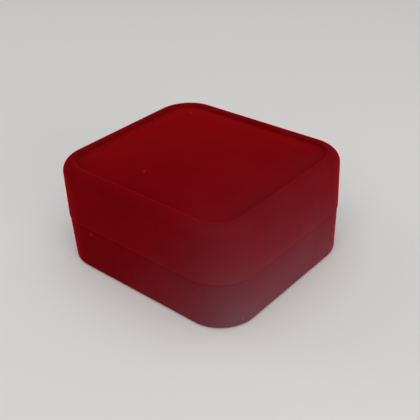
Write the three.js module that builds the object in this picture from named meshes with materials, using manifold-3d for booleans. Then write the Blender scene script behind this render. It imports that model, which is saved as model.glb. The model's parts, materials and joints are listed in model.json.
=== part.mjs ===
// A flocked ring box: two moulded shells joined at the back by a snap hinge.
// The base holds a slotted velvet ring cushion inside a raised collar, and the lid holds a
// satin pad. Units are millimetres. +Z is up, the hinge is at the back (+Y), and the origin
// is the middle of the underside.
import * as THREE from "three";
import { mergeVertices } from "three/addons/utils/BufferGeometryUtils.js";
import Module from "manifold-3d";

const wasm = await Module();
wasm.setup();

// ---- Driving dimensions ------------------------------------------------------------------

// Outside of the closed box. Width and depth are at the seam, where the shells are widest.
const width = 72;
const depth = 64.4;
const height = 34.4;
const cornerRadius = 12.9;
const seamHeight = 16;
const seamGap = 0.3;
const baseSetBack = 0.2; // the lid's edge stands this far proud of the base
const lidDraft = 0.0063; // inward lean of the lid's wall, mm per mm away from the seam
const baseDraft = 0.0266;
const footFillet = 1.2;

// Shells.
const wall = 1.8;
const floorThickness = 1.6;
const rimFillet = 3.2; // outer edge of the rim round the lid's top
const rimWidth = 4.2; // outer wall to the wall of the recess
const recessDepth = 1.2;
const panelThickness = 1.5; // at the edge of the lid's crowned panel
const crownRise = 0.75;
const crownReach = 7; // how far in from its edge the panel curves

// Collar round the inside of the base, which the lid closes over.
const collarClearance = 0.2; // to the base's wall
const collarThickness = 1.2;
const collarRise = 3; // above the seam
const collarRounding = 0.4;
const collarHingeRoom = 4; // opening for the hinge, past each end of the leaves

// Ring cushion: two foam rolls on a card, under one velvet cover that dips into the slot.
const boardThickness = 1;
const boardClearance = 0.25;
const postHeight = 1;
const postRadius = 2.5;
const postInset = 15; // from the outside, in both directions
const glueLine = 0.15;
const coverThickness = 0.5;
const coverGap = 0.1;
const cushionClearance = 0.25; // to the collar
const cushionRise = 0.1; // top of the cushion's crown, above the seam
const cushionCrown = 1.3;
const slotWidth = 4.6;
const cushionHingeRoom = 0.65; // from the cushion to what stands furthest forward on the hinge

// Lid pad: foam and satin on a card.
const lidBoardThickness = 0.85;
const lidPadClearance = 0.4; // to the lid's wall
const lidFoamThickness = 1.6;
const satinThickness = 0.4;
const lidFoamFillet = 1;

// Hinge.
const openingAngle = 95;
const hingeWidth = 30;
const leafStandOff = 0.8; // from the base's wall to the base leaf
const sheet = 0.6;
const pinRadius = 0.6;
const knuckleBore = 0.8;
const centreKnuckleWidth = 11.8;
const knuckleGap = 0.3;
const pocketClearance = 0.4;
const baseLeafAboveFloor = 4.8;
const lidLeafHeadroom = 3.2; // under the lid's pad
const bevelMargin = 0.5; // each back edge is bevelled this much past half the opening angle
const bevelStart = 0.3; // the bevels start this far in front of the axis
const pinHeadRadius = 0.95;
const pinHeadThickness = 0.5;

// Heat-formed stakes that hold each leaf.
const stakeInset = 4; // from the ends of the leaf
const stakeEdge = 2.8; // from the free edge of the leaf
const stakeRadius = 1;
const stakeShoulderRadius = 1.9;
const stakeHeadRadius = 1.8;
const stakeHeadThickness = 0.6;
const stakeFit = 0.3;

// Snap spring: a blade on the base leaf that bears on two flats of the lid's knuckle.
const camDepth = 0.25; // of each flat
const cornerClearance = 0.05; // from the blade to the corner between the flats
const bladeWidth = 9;
const bladeThickness = 0.4;
const bladePastAxis = 0.8;
const bladeStandOff = 0.1;
const rivetRadius = 0.7;
const rivetFit = 0.2;
const rivetHeadRadius = 1.3;
const rivetHeadThickness = 0.35;

// Facets.
const arcSteps = 8; // in a quarter turn of the outline
const roundSteps = 16; // in a full turn of a small part
const rimSteps = 5;
const crownSteps = 3;
const footSteps = 3;
const softSteps = 2;

// ---- Values that follow from them --------------------------------------------------------

const reach = 10 * Math.max(width, depth, height); // size of a cutting tool
const overrun = 0.5; // how far joined solids run into each other
const baseTop = seamHeight - seamGap / 2;
const lidBottom = seamHeight + seamGap / 2;

const collarInset = baseSetBack + wall + collarClearance;
const collarInnerInset = collarInset + collarThickness;
const cushionInset = collarInnerInset + cushionClearance;
const boardBottom = floorThickness + postHeight + glueLine;
const boardTop = boardBottom + boardThickness;
const cushionBottom = boardTop + glueLine;
const cushionTop = seamHeight + cushionRise;
const skin = coverThickness + coverGap;

const lidCeiling = height - recessDepth - panelThickness;
const lidBoardBottom = lidCeiling - glueLine - lidBoardThickness;
const lidFoamTop = lidBoardBottom - glueLine;
const lidFoamBottom = lidFoamTop - lidFoamThickness;
const satinBottom = lidFoamBottom - coverGap - satinThickness;
const lidPadInset = wall + lidPadClearance;

// The leaves stand tangent to the front of the knuckles, clear of the base's wall.
const knuckleRadius = knuckleBore + sheet;
const leafBackY = depth / 2 - baseSetBack - wall - leafStandOff;
const leafFrontY = leafBackY - sheet;
const hingeY = leafFrontY + knuckleRadius;
const hingeZ = seamHeight;
const hingeInset = depth / 2 - hingeY;
const baseLeafBottom = floorThickness + baseLeafAboveFloor;
const lidLeafTop = satinBottom - lidLeafHeadroom;
const bevelAngle = openingAngle / 2 + bevelMargin;
const outerKnuckleWidth = (hingeWidth - centreKnuckleWidth) / 2 - knuckleGap;
const outerKnuckleX = (hingeWidth - outerKnuckleWidth) / 2;
const pinShoulder = hingeWidth / 2 + knuckleGap;
const pinEnd = pinShoulder + pinHeadThickness;

const stakeX = hingeWidth / 2 - stakeInset;
const baseStakeZ = baseLeafBottom + stakeEdge;
const lidStakeZ = lidLeafTop - stakeEdge;
const stakeHeadBack = leafFrontY - coverGap;
const stakeHeadFront = stakeHeadBack - stakeHeadThickness;

const camFlat = knuckleRadius - camDepth;
const bladeTop = hingeZ - knuckleRadius - cornerClearance;
const bladeBack = leafFrontY - bladeStandOff;
const bladeFront = bladeBack - bladeThickness;
const rivetHeadBack = bladeFront - coverGap;
const rivetHeadFront = rivetHeadBack - rivetHeadThickness;
const cushionBackY = Math.min(stakeHeadFront, rivetHeadFront) - cushionHingeRoom;
const cushionFrontY = cushionInset - depth / 2;

// ---- Solids ------------------------------------------------------------------------------

// A closed three.js geometry as a manifold solid.
function solidOf(geometry) {
  const bare = geometry.clone();
  bare.deleteAttribute("normal");
  bare.deleteAttribute("uv");
  const merged = mergeVertices(bare, 1e-4);
  return new wasm.Manifold(
    new wasm.Mesh({
      numProp: 3,
      vertProperties: new Float32Array(merged.attributes.position.array),
      triVerts: new Uint32Array(merged.index.array),
    }),
  );
}

// A manifold solid as a three.js geometry.
function geometryOf(solid) {
  const mesh = solid.getMesh();
  return new THREE.BufferGeometry()
    .setAttribute("position", new THREE.BufferAttribute(mesh.vertProperties, 3))
    .setIndex(new THREE.BufferAttribute(mesh.triVerts, 1))
    .toNonIndexed();
}

// A box centred on x and y, standing on z.
function block(w, d, h, x, y, z) {
  return solidOf(new THREE.BoxGeometry(w, d, h).translate(x, y, z + h / 2));
}

// Everything below, or above, a height.
const below = (z) => block(reach, reach, reach, 0, 0, z - reach);
const above = (z) => block(reach, reach, reach, 0, 0, z);

// The box's outline, moved in by inset, as a rounded rectangle.
function outline(inset) {
  const x = width / 2 - inset;
  const y = depth / 2 - inset;
  const r = Math.max(cornerRadius - inset, overrun);
  const quarter = Math.PI / 2;
  const shape = new THREE.Shape();
  shape.absarc(x - r, y - r, r, 0, quarter);
  shape.absarc(r - x, y - r, r, quarter, 2 * quarter);
  shape.absarc(r - x, r - y, r, 2 * quarter, 3 * quarter);
  shape.absarc(x - r, r - y, r, 3 * quarter, 4 * quarter);
  shape.closePath();
  return shape;
}

// The outline between two heights. edge is {size, rise, steps} of a rounding at both ends.
function slab(inset, bottom, top, edge = { size: 0, rise: 0, steps: 0 }) {
  const geometry = new THREE.ExtrudeGeometry(outline(inset), {
    depth: top - bottom - 2 * edge.rise,
    curveSegments: arcSteps,
    bevelEnabled: edge.size > 0,
    bevelThickness: edge.rise,
    bevelSize: edge.size,
    bevelOffset: -edge.size,
    bevelSegments: edge.steps,
  });
  return geometry.translate(0, 0, bottom + edge.rise);
}

// Leans the walls of a geometry inwards by draft for each millimetre below the seam, and
// outwards above it. A lid's walls take a negative draft.
function lean(geometry, draft) {
  const position = geometry.attributes.position;
  for (let i = 0; i < position.count; i += 1) {
    const shrink = draft * (seamHeight - position.getZ(i));
    position.setX(i, position.getX(i) * (1 - (2 * shrink) / width));
    position.setY(i, position.getY(i) * (1 - (2 * shrink) / depth));
  }
  return geometry;
}

// A shape drawn in y and z, extruded along x about the middle.
function alongX(shape, length) {
  const geometry = new THREE.ExtrudeGeometry(shape, {
    depth: length,
    curveSegments: arcSteps,
    bevelEnabled: false,
  });
  const turn = new THREE.Matrix4().makeBasis(
    new THREE.Vector3(0, 1, 0),
    new THREE.Vector3(0, 0, 1),
    new THREE.Vector3(1, 0, 0),
  );
  return solidOf(geometry.applyMatrix4(turn).translate(-length / 2, 0, 0));
}

// A cylinder along x on the hinge's axis, from its middle.
function rodX(radius, length, x = 0) {
  const geometry = new THREE.CylinderGeometry(radius, radius, length, roundSteps);
  return solidOf(geometry.rotateZ(Math.PI / 2).translate(x, hingeY, hingeZ));
}

// A cylinder along y, between two values of y.
function rodY(radius, fromY, toY, x, z) {
  const geometry = new THREE.CylinderGeometry(radius, radius, toY - fromY, roundSteps);
  return solidOf(geometry.translate(x, (fromY + toY) / 2, z));
}

// A closed polygon of [y, z] points.
function polygon(points) {
  return new THREE.Shape(points.map(([y, z]) => new THREE.Vector2(y, z)));
}

// Everything behind a shell's back bevel, which falls away from the seam as it goes back. The
// side is -1 for the base and 1 for the lid.
function backBevel(edgeZ, side) {
  const startY = hingeY - bevelStart;
  const run = 3 * hingeInset;
  const fall = Math.tan(THREE.MathUtils.degToRad(bevelAngle)) * run;
  const corners = [
    [startY, edgeZ - side],
    [startY, edgeZ],
    [startY + run, edgeZ + side * fall],
    [startY + run, edgeZ - side],
  ];
  return alongX(polygon(corners), reach);
}

// Room for the knuckles and the pin in both shells.
function hingePocket() {
  return rodX(knuckleRadius + pocketClearance, 2 * (pinEnd + pocketClearance));
}

// Two moulded stakes on a shell's back wall, with shoulders behind the leaf and formed heads.
function stakes(z, wallY) {
  const shoulderEnd = leafBackY + coverGap;
  const stakeAt = (x) =>
    rodY(stakeShoulderRadius, shoulderEnd, wallY, x, z)
      .add(rodY(stakeRadius, stakeHeadFront, wallY, x, z))
      .add(rodY(stakeHeadRadius, stakeHeadFront, stakeHeadBack, x, z));
  return stakeAt(-stakeX).add(stakeAt(stakeX));
}

// ---- Base --------------------------------------------------------------------------------

// Four posts on the floor that carry the cushion's card.
function cardPosts() {
  const rise = postHeight + overrun;
  const posts = [-1, 1].flatMap((sideX) =>
    [-1, 1].map((sideY) => {
      const x = sideX * (width / 2 - postInset);
      const y = sideY * (depth / 2 - postInset);
      const post = new THREE.CylinderGeometry(postRadius, postRadius, rise, roundSteps);
      return solidOf(post.rotateX(Math.PI / 2).translate(x, y, floorThickness - overrun + rise / 2));
    }),
  );
  return posts.reduce((all, post) => all.add(post));
}

function baseShell() {
  const foot = { size: footFillet, rise: footFillet, steps: footSteps };
  const outside = solidOf(lean(slab(baseSetBack, 0, height, foot), baseDraft));
  const inside = solidOf(lean(slab(baseSetBack + wall, floorThickness, height), baseDraft));
  const bladeRoomZ = bladeTop - bladeThickness - 2 * pocketClearance;
  const bladeRoom = block(
    bladeWidth + 2 * pocketClearance,
    2 * (bladePastAxis + pocketClearance),
    reach,
    0,
    hingeY,
    bladeRoomZ,
  );
  return outside
    .subtract(inside)
    .add(cardPosts())
    .add(stakes(baseStakeZ, depth / 2 - baseSetBack - wall / 2))
    .subtract(above(baseTop))
    .subtract(backBevel(baseTop, -1))
    .subtract(hingePocket())
    .subtract(bladeRoom);
}

function baseCollar() {
  const top = seamHeight + collarRise;
  const bottom = floorThickness + glueLine;
  const edge = { size: collarRounding, rise: collarRounding, steps: softSteps };
  const outside = solidOf(lean(slab(collarInset, bottom, top, edge), baseDraft));
  const inside = solidOf(lean(slab(collarInnerInset, 0, 2 * top), baseDraft));
  const openWidth = hingeWidth + 2 * collarHingeRoom;
  const opening = block(openWidth, depth / 2, reach, 0, depth / 2, -overrun);
  return outside.subtract(inside).subtract(opening);
}

// The cushion's plan, moved in by extra, cut short at the back to leave room for the hinge.
function cushionPlan(extra, bottom, top) {
  const deepest = baseDraft * (seamHeight - boardBottom);
  const plan = solidOf(slab(cushionInset + deepest + extra, bottom, top));
  const behind = block(reach, reach, reach, 0, cushionBackY - extra + reach / 2, -reach / 2);
  return plan.subtract(behind);
}

function cushionBoard() {
  return cushionPlan(boardClearance, boardBottom, boardTop);
}

// Section of one roll: flat beneath, crowned on top, and rounded into its sides.
function rollSection(fromY, toY, bottom, top) {
  const side = top - cushionCrown;
  const shape = new THREE.Shape();
  shape.moveTo(fromY, bottom);
  shape.lineTo(toY, bottom);
  shape.lineTo(toY, side);
  shape.quadraticCurveTo(toY, top, toY - 2 * cushionCrown, top);
  shape.lineTo(fromY + 2 * cushionCrown, top);
  shape.quadraticCurveTo(fromY, top, fromY, side);
  shape.closePath();
  return shape;
}

// The front or rear roll, taken in by extra all round, down to bottom.
function roll(which, extra, bottom) {
  const edge = slotWidth / 2 + extra;
  const span = which === "front" ? [cushionFrontY + extra, -edge] : [edge, cushionBackY - extra];
  return alongX(rollSection(...span, bottom, cushionTop - extra), reach);
}

function cushionFoam(which) {
  return roll(which, skin, cushionBottom).intersect(cushionPlan(skin, cushionBottom, height));
}

function cushionCover() {
  const outer = roll("front", 0, cushionBottom).add(roll("rear", 0, cushionBottom));
  const slotFloor = block(
    reach,
    slotWidth + 2 * coverThickness,
    coverThickness,
    0,
    0,
    cushionBottom,
  );
  const hollow = roll("front", coverThickness, 0)
    .add(roll("rear", coverThickness, 0))
    .intersect(cushionPlan(coverThickness, 0, height));
  return outer.add(slotFloor).intersect(cushionPlan(0, cushionBottom, height)).subtract(hollow);
}

// ---- Hinge -------------------------------------------------------------------------------

// A leaf's flat plate between two heights, standing tangent to the knuckles.
function plate(bottom, top) {
  return block(hingeWidth, sheet, top - bottom, 0, (leafFrontY + leafBackY) / 2, bottom);
}

// A hole through the leaf.
function leafHole(radius, x, z) {
  return rodY(radius, leafFrontY - overrun, leafBackY + overrun, x, z);
}

function stakeHoles(z) {
  const radius = stakeRadius + stakeFit;
  return leafHole(radius, -stakeX, z).add(leafHole(radius, stakeX, z));
}

function hingeBaseLeaf() {
  const notchWidth = centreKnuckleWidth + 2 * knuckleGap;
  const notchZ = bladeTop - bladeThickness - 2 * knuckleGap;
  return plate(baseLeafBottom, hingeZ)
    .subtract(block(notchWidth, reach, reach, 0, hingeY, notchZ))
    .add(rodX(knuckleRadius, outerKnuckleWidth, -outerKnuckleX))
    .add(rodX(knuckleRadius, outerKnuckleWidth, outerKnuckleX))
    .subtract(rodX(knuckleBore, reach))
    .subtract(stakeHoles(baseStakeZ))
    .subtract(leafHole(rivetRadius + rivetFit, 0, baseStakeZ));
}

// The lid's knuckle, with one flat facing down and one that faces down when the lid is open.
function camKnuckle() {
  const flatAt = (degrees) =>
    solidOf(
      new THREE.BoxGeometry(reach, reach, reach)
        .translate(0, 0, -camFlat - reach / 2)
        .rotateX(THREE.MathUtils.degToRad(degrees))
        .translate(0, hingeY, hingeZ),
    );
  return rodX(knuckleRadius, centreKnuckleWidth).subtract(flatAt(0)).subtract(flatAt(openingAngle));
}

function hingeLidLeaf() {
  const notchWidth = outerKnuckleWidth + knuckleGap;
  const notchX = (hingeWidth - notchWidth) / 2 + overrun;
  const notchTop = hingeZ + knuckleRadius + knuckleGap;
  const notchAt = (x) => block(notchWidth + 2 * overrun, reach, reach, x, hingeY, notchTop - reach);
  return plate(hingeZ, lidLeafTop)
    .subtract(notchAt(-notchX))
    .subtract(notchAt(notchX))
    .add(camKnuckle())
    .subtract(rodX(knuckleBore, reach))
    .subtract(stakeHoles(lidStakeZ));
}

function hingePin() {
  const profile = [
    [0, -pinEnd],
    [pinHeadRadius, -pinEnd],
    [pinHeadRadius, -pinShoulder],
    [pinRadius, -pinShoulder],
    [pinRadius, pinShoulder],
    [pinHeadRadius, pinShoulder],
    [pinHeadRadius, pinEnd],
    [0, pinEnd],
  ].map(([r, y]) => new THREE.Vector2(r, y));
  const geometry = new THREE.LatheGeometry(profile, roundSteps).rotateZ(Math.PI / 2);
  return solidOf(geometry.translate(0, hingeY, hingeZ));
}

// The blade: up the front of the base leaf, then bent back under the lid's knuckle.
function snapSpring() {
  const tipY = hingeY + bladePastAxis;
  const bend = bladeThickness / 2;
  const section = polygon([
    [bladeFront, baseLeafBottom],
    [bladeBack, baseLeafBottom],
    [bladeBack, bladeTop - bladeThickness],
    [tipY, bladeTop - bladeThickness],
    [tipY, bladeTop],
    [bladeFront + bend, bladeTop],
    [bladeFront, bladeTop - bend],
  ]);
  const hole = rodY(rivetRadius + rivetFit, bladeFront - overrun, bladeBack + overrun, 0, baseStakeZ);
  return alongX(section, bladeWidth).subtract(hole);
}

function springRivet() {
  const tailFront = leafBackY + coverGap;
  const tailBack = tailFront + rivetHeadThickness;
  return rodY(rivetHeadRadius, rivetHeadFront, rivetHeadBack, 0, baseStakeZ)
    .add(rodY(rivetRadius, rivetHeadFront, tailBack, 0, baseStakeZ))
    .add(rodY(rivetHeadRadius, tailFront, tailBack, 0, baseStakeZ));
}

// ---- Lid ---------------------------------------------------------------------------------

// The crowned panel that fills the recess.
function crownedPanel() {
  const panelZ = height - recessDepth;
  const edge = { size: crownReach, rise: crownRise, steps: crownSteps };
  const panel = solidOf(slab(rimWidth, panelZ - crownRise, panelZ + crownRise, edge));
  return panel.subtract(below(panelZ - overrun / 2));
}

function lidShell() {
  const rim = { size: rimFillet, rise: rimFillet, steps: rimSteps };
  const outside = solidOf(lean(slab(0, 0, height, rim), -lidDraft));
  const recess = solidOf(slab(rimWidth, height - recessDepth, 2 * height));
  const inside = solidOf(lean(slab(wall, 0, lidCeiling), -lidDraft));
  return outside
    .subtract(recess)
    .add(crownedPanel())
    .subtract(inside)
    .add(stakes(lidStakeZ, depth / 2 - wall / 2))
    .subtract(below(lidBottom))
    .subtract(backBevel(lidBottom, 1))
    .subtract(hingePocket());
}

// The lid pad's plan, moved in by extra.
function lidPlan(extra, bottom, top, edge) {
  const deepest = lidDraft * (lidCeiling - seamHeight);
  return solidOf(slab(lidPadInset + deepest + extra, bottom, top, edge));
}

function lidPadBoard() {
  return lidPlan(satinThickness, lidBoardBottom, lidBoardBottom + lidBoardThickness);
}

// A pad moved in by extra, flat above and rounded along its lower edge.
function lidPadForm(extra, bottom, top) {
  const edge = { size: lidFoamFillet, rise: lidFoamFillet, steps: softSteps };
  return lidPlan(extra, bottom, top + 2 * lidFoamFillet, edge).subtract(above(top));
}

function lidPadFoam() {
  return lidPadForm(satinThickness + coverGap, lidFoamBottom, lidFoamTop);
}

function lidPadSatin() {
  const inner = lidPadForm(satinThickness, satinBottom + satinThickness, lidFoamTop + overrun);
  return lidPadForm(0, satinBottom, lidFoamTop).subtract(inner);
}

// ---- Assembly ----------------------------------------------------------------------------

const finish = (color, roughness, metalness = 0) =>
  new THREE.MeshStandardMaterial({ color, roughness, metalness });
const redFlock = finish(0x6e0a10, 0.95);
const redVelvet = finish(0x7a0c14, 0.9);
const creamSatin = finish(0xefe6d2, 0.45);
const whiteFoam = finish(0xf2f0ea, 0.95);
const greyCard = finish(0xb9b2a4, 0.9);
const nickel = finish(0xc9c6bd, 0.3, 1);
const springSteel = finish(0x8d9096, 0.35, 1);

const base = new THREE.Group();
const lid = new THREE.Group();
const ringBox = new THREE.Group();
ringBox.add(base, lid);

function place(parent, name, solid, material) {
  const mesh = new THREE.Mesh(geometryOf(solid), material);
  mesh.name = name;
  parent.add(mesh);
}

place(base, "base_shell", baseShell(), redFlock);
place(base, "base_collar", baseCollar(), redVelvet);
place(base, "cushion_board", cushionBoard(), greyCard);
place(base, "cushion_foam_front", cushionFoam("front"), whiteFoam);
place(base, "cushion_foam_rear", cushionFoam("rear"), whiteFoam);
place(base, "cushion_cover", cushionCover(), redVelvet);
place(base, "hinge_base_leaf", hingeBaseLeaf(), nickel);
place(base, "hinge_pin", hingePin(), springSteel);
place(base, "snap_spring", snapSpring(), springSteel);
place(base, "spring_rivet", springRivet(), nickel);
place(lid, "lid_shell", lidShell(), redFlock);
place(lid, "hinge_lid_leaf", hingeLidLeaf(), nickel);
place(lid, "lid_pad_board", lidPadBoard(), greyCard);
place(lid, "lid_pad_foam", lidPadFoam(), whiteFoam);
place(lid, "lid_pad_satin", lidPadSatin(), creamSatin);

export default ringBox;
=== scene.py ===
"""A crimson flocked ring box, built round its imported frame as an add-on's operators.

Run as a script, it makes the flocked shells, the velvet collar and ring cushion, the satin lid
pad, the plated hinge and the stage, one operator each. Lengths are in metres, and MM is one
millimetre.
"""

import json
import math

import bmesh
import bpy
import numpy as np
from mathutils import Matrix, Vector


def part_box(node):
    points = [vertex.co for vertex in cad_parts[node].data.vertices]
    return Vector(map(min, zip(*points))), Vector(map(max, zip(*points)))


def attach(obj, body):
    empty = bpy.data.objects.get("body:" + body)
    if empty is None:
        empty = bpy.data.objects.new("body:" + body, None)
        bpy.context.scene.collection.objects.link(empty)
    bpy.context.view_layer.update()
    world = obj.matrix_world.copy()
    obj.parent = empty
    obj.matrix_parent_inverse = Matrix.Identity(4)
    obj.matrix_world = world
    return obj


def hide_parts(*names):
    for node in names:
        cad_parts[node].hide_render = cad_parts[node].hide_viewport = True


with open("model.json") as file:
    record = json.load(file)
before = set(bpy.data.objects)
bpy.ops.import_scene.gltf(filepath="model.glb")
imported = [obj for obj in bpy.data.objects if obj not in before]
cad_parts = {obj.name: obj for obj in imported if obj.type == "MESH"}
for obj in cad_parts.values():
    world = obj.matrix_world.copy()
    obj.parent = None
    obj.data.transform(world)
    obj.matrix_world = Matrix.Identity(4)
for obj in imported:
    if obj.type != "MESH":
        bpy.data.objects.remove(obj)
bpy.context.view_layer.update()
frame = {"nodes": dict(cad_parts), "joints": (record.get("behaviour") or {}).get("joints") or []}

bl_info = {
    "name": "Flocked Ring Box",
    "version": (1, 0, 0),
    "blender": (4, 5, 0),
    "location": "View3D > Sidebar > Ring Box",
    "description": "Builds a flocked ring box with a velvet cushion, a satin lid pad and a hinge",
    "category": "Object",
}

MM = 0.001

# ---- What the frame says -----------------------------------------------------------------

LID_LOW, LID_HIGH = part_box("lid_shell")
BASE_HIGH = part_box("base_shell")[1]
COLLAR_LOW, COLLAR_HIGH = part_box("base_collar")
CUSHION_LOW, CUSHION_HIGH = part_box("cushion_cover")
ROLL_FRONT_LOW, ROLL_FRONT_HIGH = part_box("cushion_foam_front")
ROLL_REAR_LOW, ROLL_REAR_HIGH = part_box("cushion_foam_rear")
SATIN_LOW, SATIN_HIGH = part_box("lid_pad_satin")
LEAF_LOW, LEAF_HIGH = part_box("hinge_base_leaf")
LID_LEAF_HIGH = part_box("hinge_lid_leaf")[1]
BLADE_LOW, BLADE_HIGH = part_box("snap_spring")
RIVET_LOW, RIVET_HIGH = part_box("spring_rivet")
PIN_LOW, PIN_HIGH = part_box("hinge_pin")
AXIS = Vector(frame["joints"][0]["pos_m"])
OPENING_DEGREES = frame["joints"][0]["range_deg"][1]

# ---- Sizes and colours that a user would change --------------------------------------------


def length(name, description, millimetres):
    """A length property whose default is given in millimetres."""
    return bpy.props.FloatProperty(
        name=name,
        description=description,
        default=millimetres * MM,
        min=0.0,
        precision=5,
        subtype="DISTANCE",
        unit="LENGTH",
    )


def to_linear(code):
    """The linear colour, with alpha 1, of an sRGB hex code such as 7a0c14."""
    srgb = np.array([int(code[i : i + 2], 16) for i in (0, 2, 4)]) / 255
    line = np.where(srgb <= 0.04045, srgb / 12.92, ((srgb + 0.055) / 1.055) ** 2.4)
    return (*(float(x) for x in line), 1.0)


def angle(name, description, degrees):
    """An angle property whose default is given in degrees."""
    return bpy.props.FloatProperty(
        name=name, description=description, default=math.radians(degrees), subtype="ANGLE"
    )


def colour(name, description, code):
    """A colour property whose default is an sRGB hex code."""
    return bpy.props.FloatVectorProperty(
        name=name,
        description=description,
        default=to_linear(code),
        size=4,
        min=0.0,
        max=1.0,
        subtype="COLOR",
    )


class RingBoxShells(bpy.types.PropertyGroup):
    """The moulded shells' shape."""

    corner: length("Corner radius", "Of the plan at the seam", 12.9)
    wall: length("Wall", "Thickness of both shells", 1.8)
    floor: length("Floor", "Thickness of the base's floor", 1.6)
    set_back: length("Set back", "Of the base behind the lid's edge", 0.2)
    edge: length("Edge rounding", "Of the flocked edges at the seam", 0.2)
    pile: length("Pile", "How far the flock stands into the gap at the seam", 0.1)
    rim_fillet: length("Rim fillet", "Outer rounding of the lid's rim", 3.2)
    rim_width: length("Rim width", "From the outer wall to the recess", 4.2)
    rim_rounding: length("Rim rounding", "Width of the rim's rounding into the recess", 1.0)
    rim_foot: length("Rim foot", "Width of the hollow at the rim's foot", 0.5)
    recess: length("Recess depth", "From the rim's crest to the panel's edge", 1.12)
    panel: length("Panel", "Thickness of the lid's panel under the recess", 1.5)
    crown: length("Crown", "Rise of the panel from its edge to its middle", 0.95)
    crown_reach: length("Crown reach", "Width of the panel's curved border", 9.0)
    foot_fillet: length("Foot fillet", "Rounding of the base's lower edge", 1.2)
    inner_rounding: length("Inner rounding", "Of the corners inside the shells", 1.0)
    bevel_start: length("Bevel start", "From the hinge's axis forward to the bevels", 0.3)
    pocket: length("Hinge pocket", "Room round the hinge's knuckles", 0.4)
    lid_draft: bpy.props.FloatProperty(
        name="Lid draft", description="Inward lean of the lid's wall", default=0.0063
    )
    base_draft: bpy.props.FloatProperty(
        name="Base draft", description="Inward lean of the base's wall", default=0.0266
    )


class RingBoxLining(bpy.types.PropertyGroup):
    """The collar, the ring cushion and the lid pad."""

    collar_wall: length("Collar", "Thickness of the covered collar", 1.2)
    outer_corner: length("Cushion corner", "Radius of the cushion's outer corners", 8.9)
    slot_corner: length("Slot corner", "Radius of the rolls' corners at the slot", 3.2)
    shoulder: length("Shoulder", "Rounding of the rolls' upper edges", 3.0)
    roll_crown: length("Roll crown", "Rise of a roll's middle above its shoulders", 0.7)
    strip: length("Slot floor", "Thickness of the velvet at the slot's floor", 0.5)
    puff: length("Puff", "How far the stuffing may push the covers out", 0.45)
    satin_puff: length("Satin puff", "How far the stuffing may push the satin out", 1.2)
    pleat: length("Pleat", "Depth of the satin's gathers along its edge", 0.22)
    pleat_pitch: length("Pleat pitch", "Distance between the satin's gathers", 3.4)


class RingBoxHinge(bpy.types.PropertyGroup):
    """The plated hinge."""

    sheet: length("Sheet", "Thickness of the leaves", 0.6)
    bore: length("Bore", "Radius of the knuckles' bore", 0.8)
    centre_width: length("Centre knuckle", "Width of the lid's knuckle", 11.8)
    gap: length("Knuckle gap", "Between neighbouring knuckles", 0.3)
    flat: length("Cam flat", "From the axis to the lid knuckle's flats", 1.15)
    leaf_corner: length("Leaf corner", "Radius of the leaves' free corners", 1.6)
    burr: length("Edge break", "Rounding of the stamped edges", 0.07)
    blade: length("Blade", "Thickness of the snap spring", 0.4)
    stake_inset: length("Stake inset", "From a leaf's end to its stake", 4.0)
    stake_edge: length("Stake edge", "From a leaf's free edge to its stake", 2.8)
    stake_radius: length("Stake", "Radius of a moulded stake", 1.0)
    stake_shoulder: length("Stake shoulder", "Radius of the boss behind the leaf", 1.9)
    stake_hole: length("Stake hole", "Radius of a leaf's hole for its stake", 1.3)
    rivet_hole: length("Rivet hole", "Radius of the holes for the rivet", 0.78)
    stake_head: length("Stake head", "Radius of a stake's formed head", 1.8)
    stake_head_rise: length("Stake head rise", "Thickness of a formed head", 0.6)


class RingBoxColours(bpy.types.PropertyGroup):
    """The finishes' colours."""

    flock: colour("Flock", "Crimson nylon flock, pile upright", "6b060b")
    flock_deep: colour("Flock, deep", "Where the pile leans away", "65050a")
    # A painted sheen: the greyer tone that stands for light on the flock low at the right.
    flock_pale_sheen: colour("Flock, paler", "The greyer tone low at the right", "68424b")
    # A painted sheen: the brighter tone toward the rear left of the lid's recess.
    flock_recess_sheen: colour("Flock, brighter", "Toward the rear left of the recess", "74050b")
    lint: colour("Lint", "Pale fibres caught in the flock", "a8686c")
    velvet: colour("Velvet", "Crimson velvet of the lining", "760810")
    velvet_deep: colour("Velvet, deep", "Where the velvet's pile leans away", "66060c")
    satin: colour("Satin", "Ivory satin", "f6edd8")
    satin_deep: colour("Satin, deep", "The satin's weft between its floats", "e9dec4")
    styrene: colour("Styrene", "Bare crimson moulding of the stakes", "6a0b12")
    nickel: colour("Nickel", "Bright nickel plate", "cdc8bc")
    steel: colour("Spring steel", "Drawn spring steel", "a3a5a8")
    card: colour("Card", "Grey pressed card", "a59f93")
    paper: colour("Floor", "Pale matt floor", "dcdbd9")


class RingBoxStage(bpy.types.PropertyGroup):
    """The camera and the lights."""

    lens: length("Lens", "Focal length", 63.36)
    distance: length("Distance", "From the camera to the box's foot along the view", 245.93)
    azimuth: angle("Azimuth", "Turn of the camera from the front towards the right", 41.984)
    elevation: angle("Elevation", "Height of the camera above the floor", 31.842)
    roll: angle("Roll", "Clockwise turn of the camera about its view", 2.732)
    aside: length("Aside", "The camera's step to its right", 2.131)
    above: length("Above", "The camera's step up", 11.966)


# ---- Meshes ------------------------------------------------------------------------------


def closed_mesh(name, vertices, faces):
    """A mesh with its faces pointing out: they are turned if the volume they close is negative."""
    vertices = np.asarray(vertices, float).reshape(-1, 3)
    volume = 0.0
    for corners in (3, 4):
        some = np.array([f for f in faces if len(f) == corners], int).reshape(-1, corners)
        for k in range(1, corners - 1):
            a, b, c = vertices[some[:, 0]], vertices[some[:, k]], vertices[some[:, k + 1]]
            volume += float(np.einsum("ij,ij->", a, np.cross(b, c)))
    if volume < 0:
        faces = [tuple(reversed(f)) for f in faces]
    mesh = bpy.data.meshes.new(name)
    mesh.from_pydata(vertices.tolist(), [], [tuple(map(int, f)) for f in faces])
    mesh.validate()
    mesh.shade_smooth()
    return mesh


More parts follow.
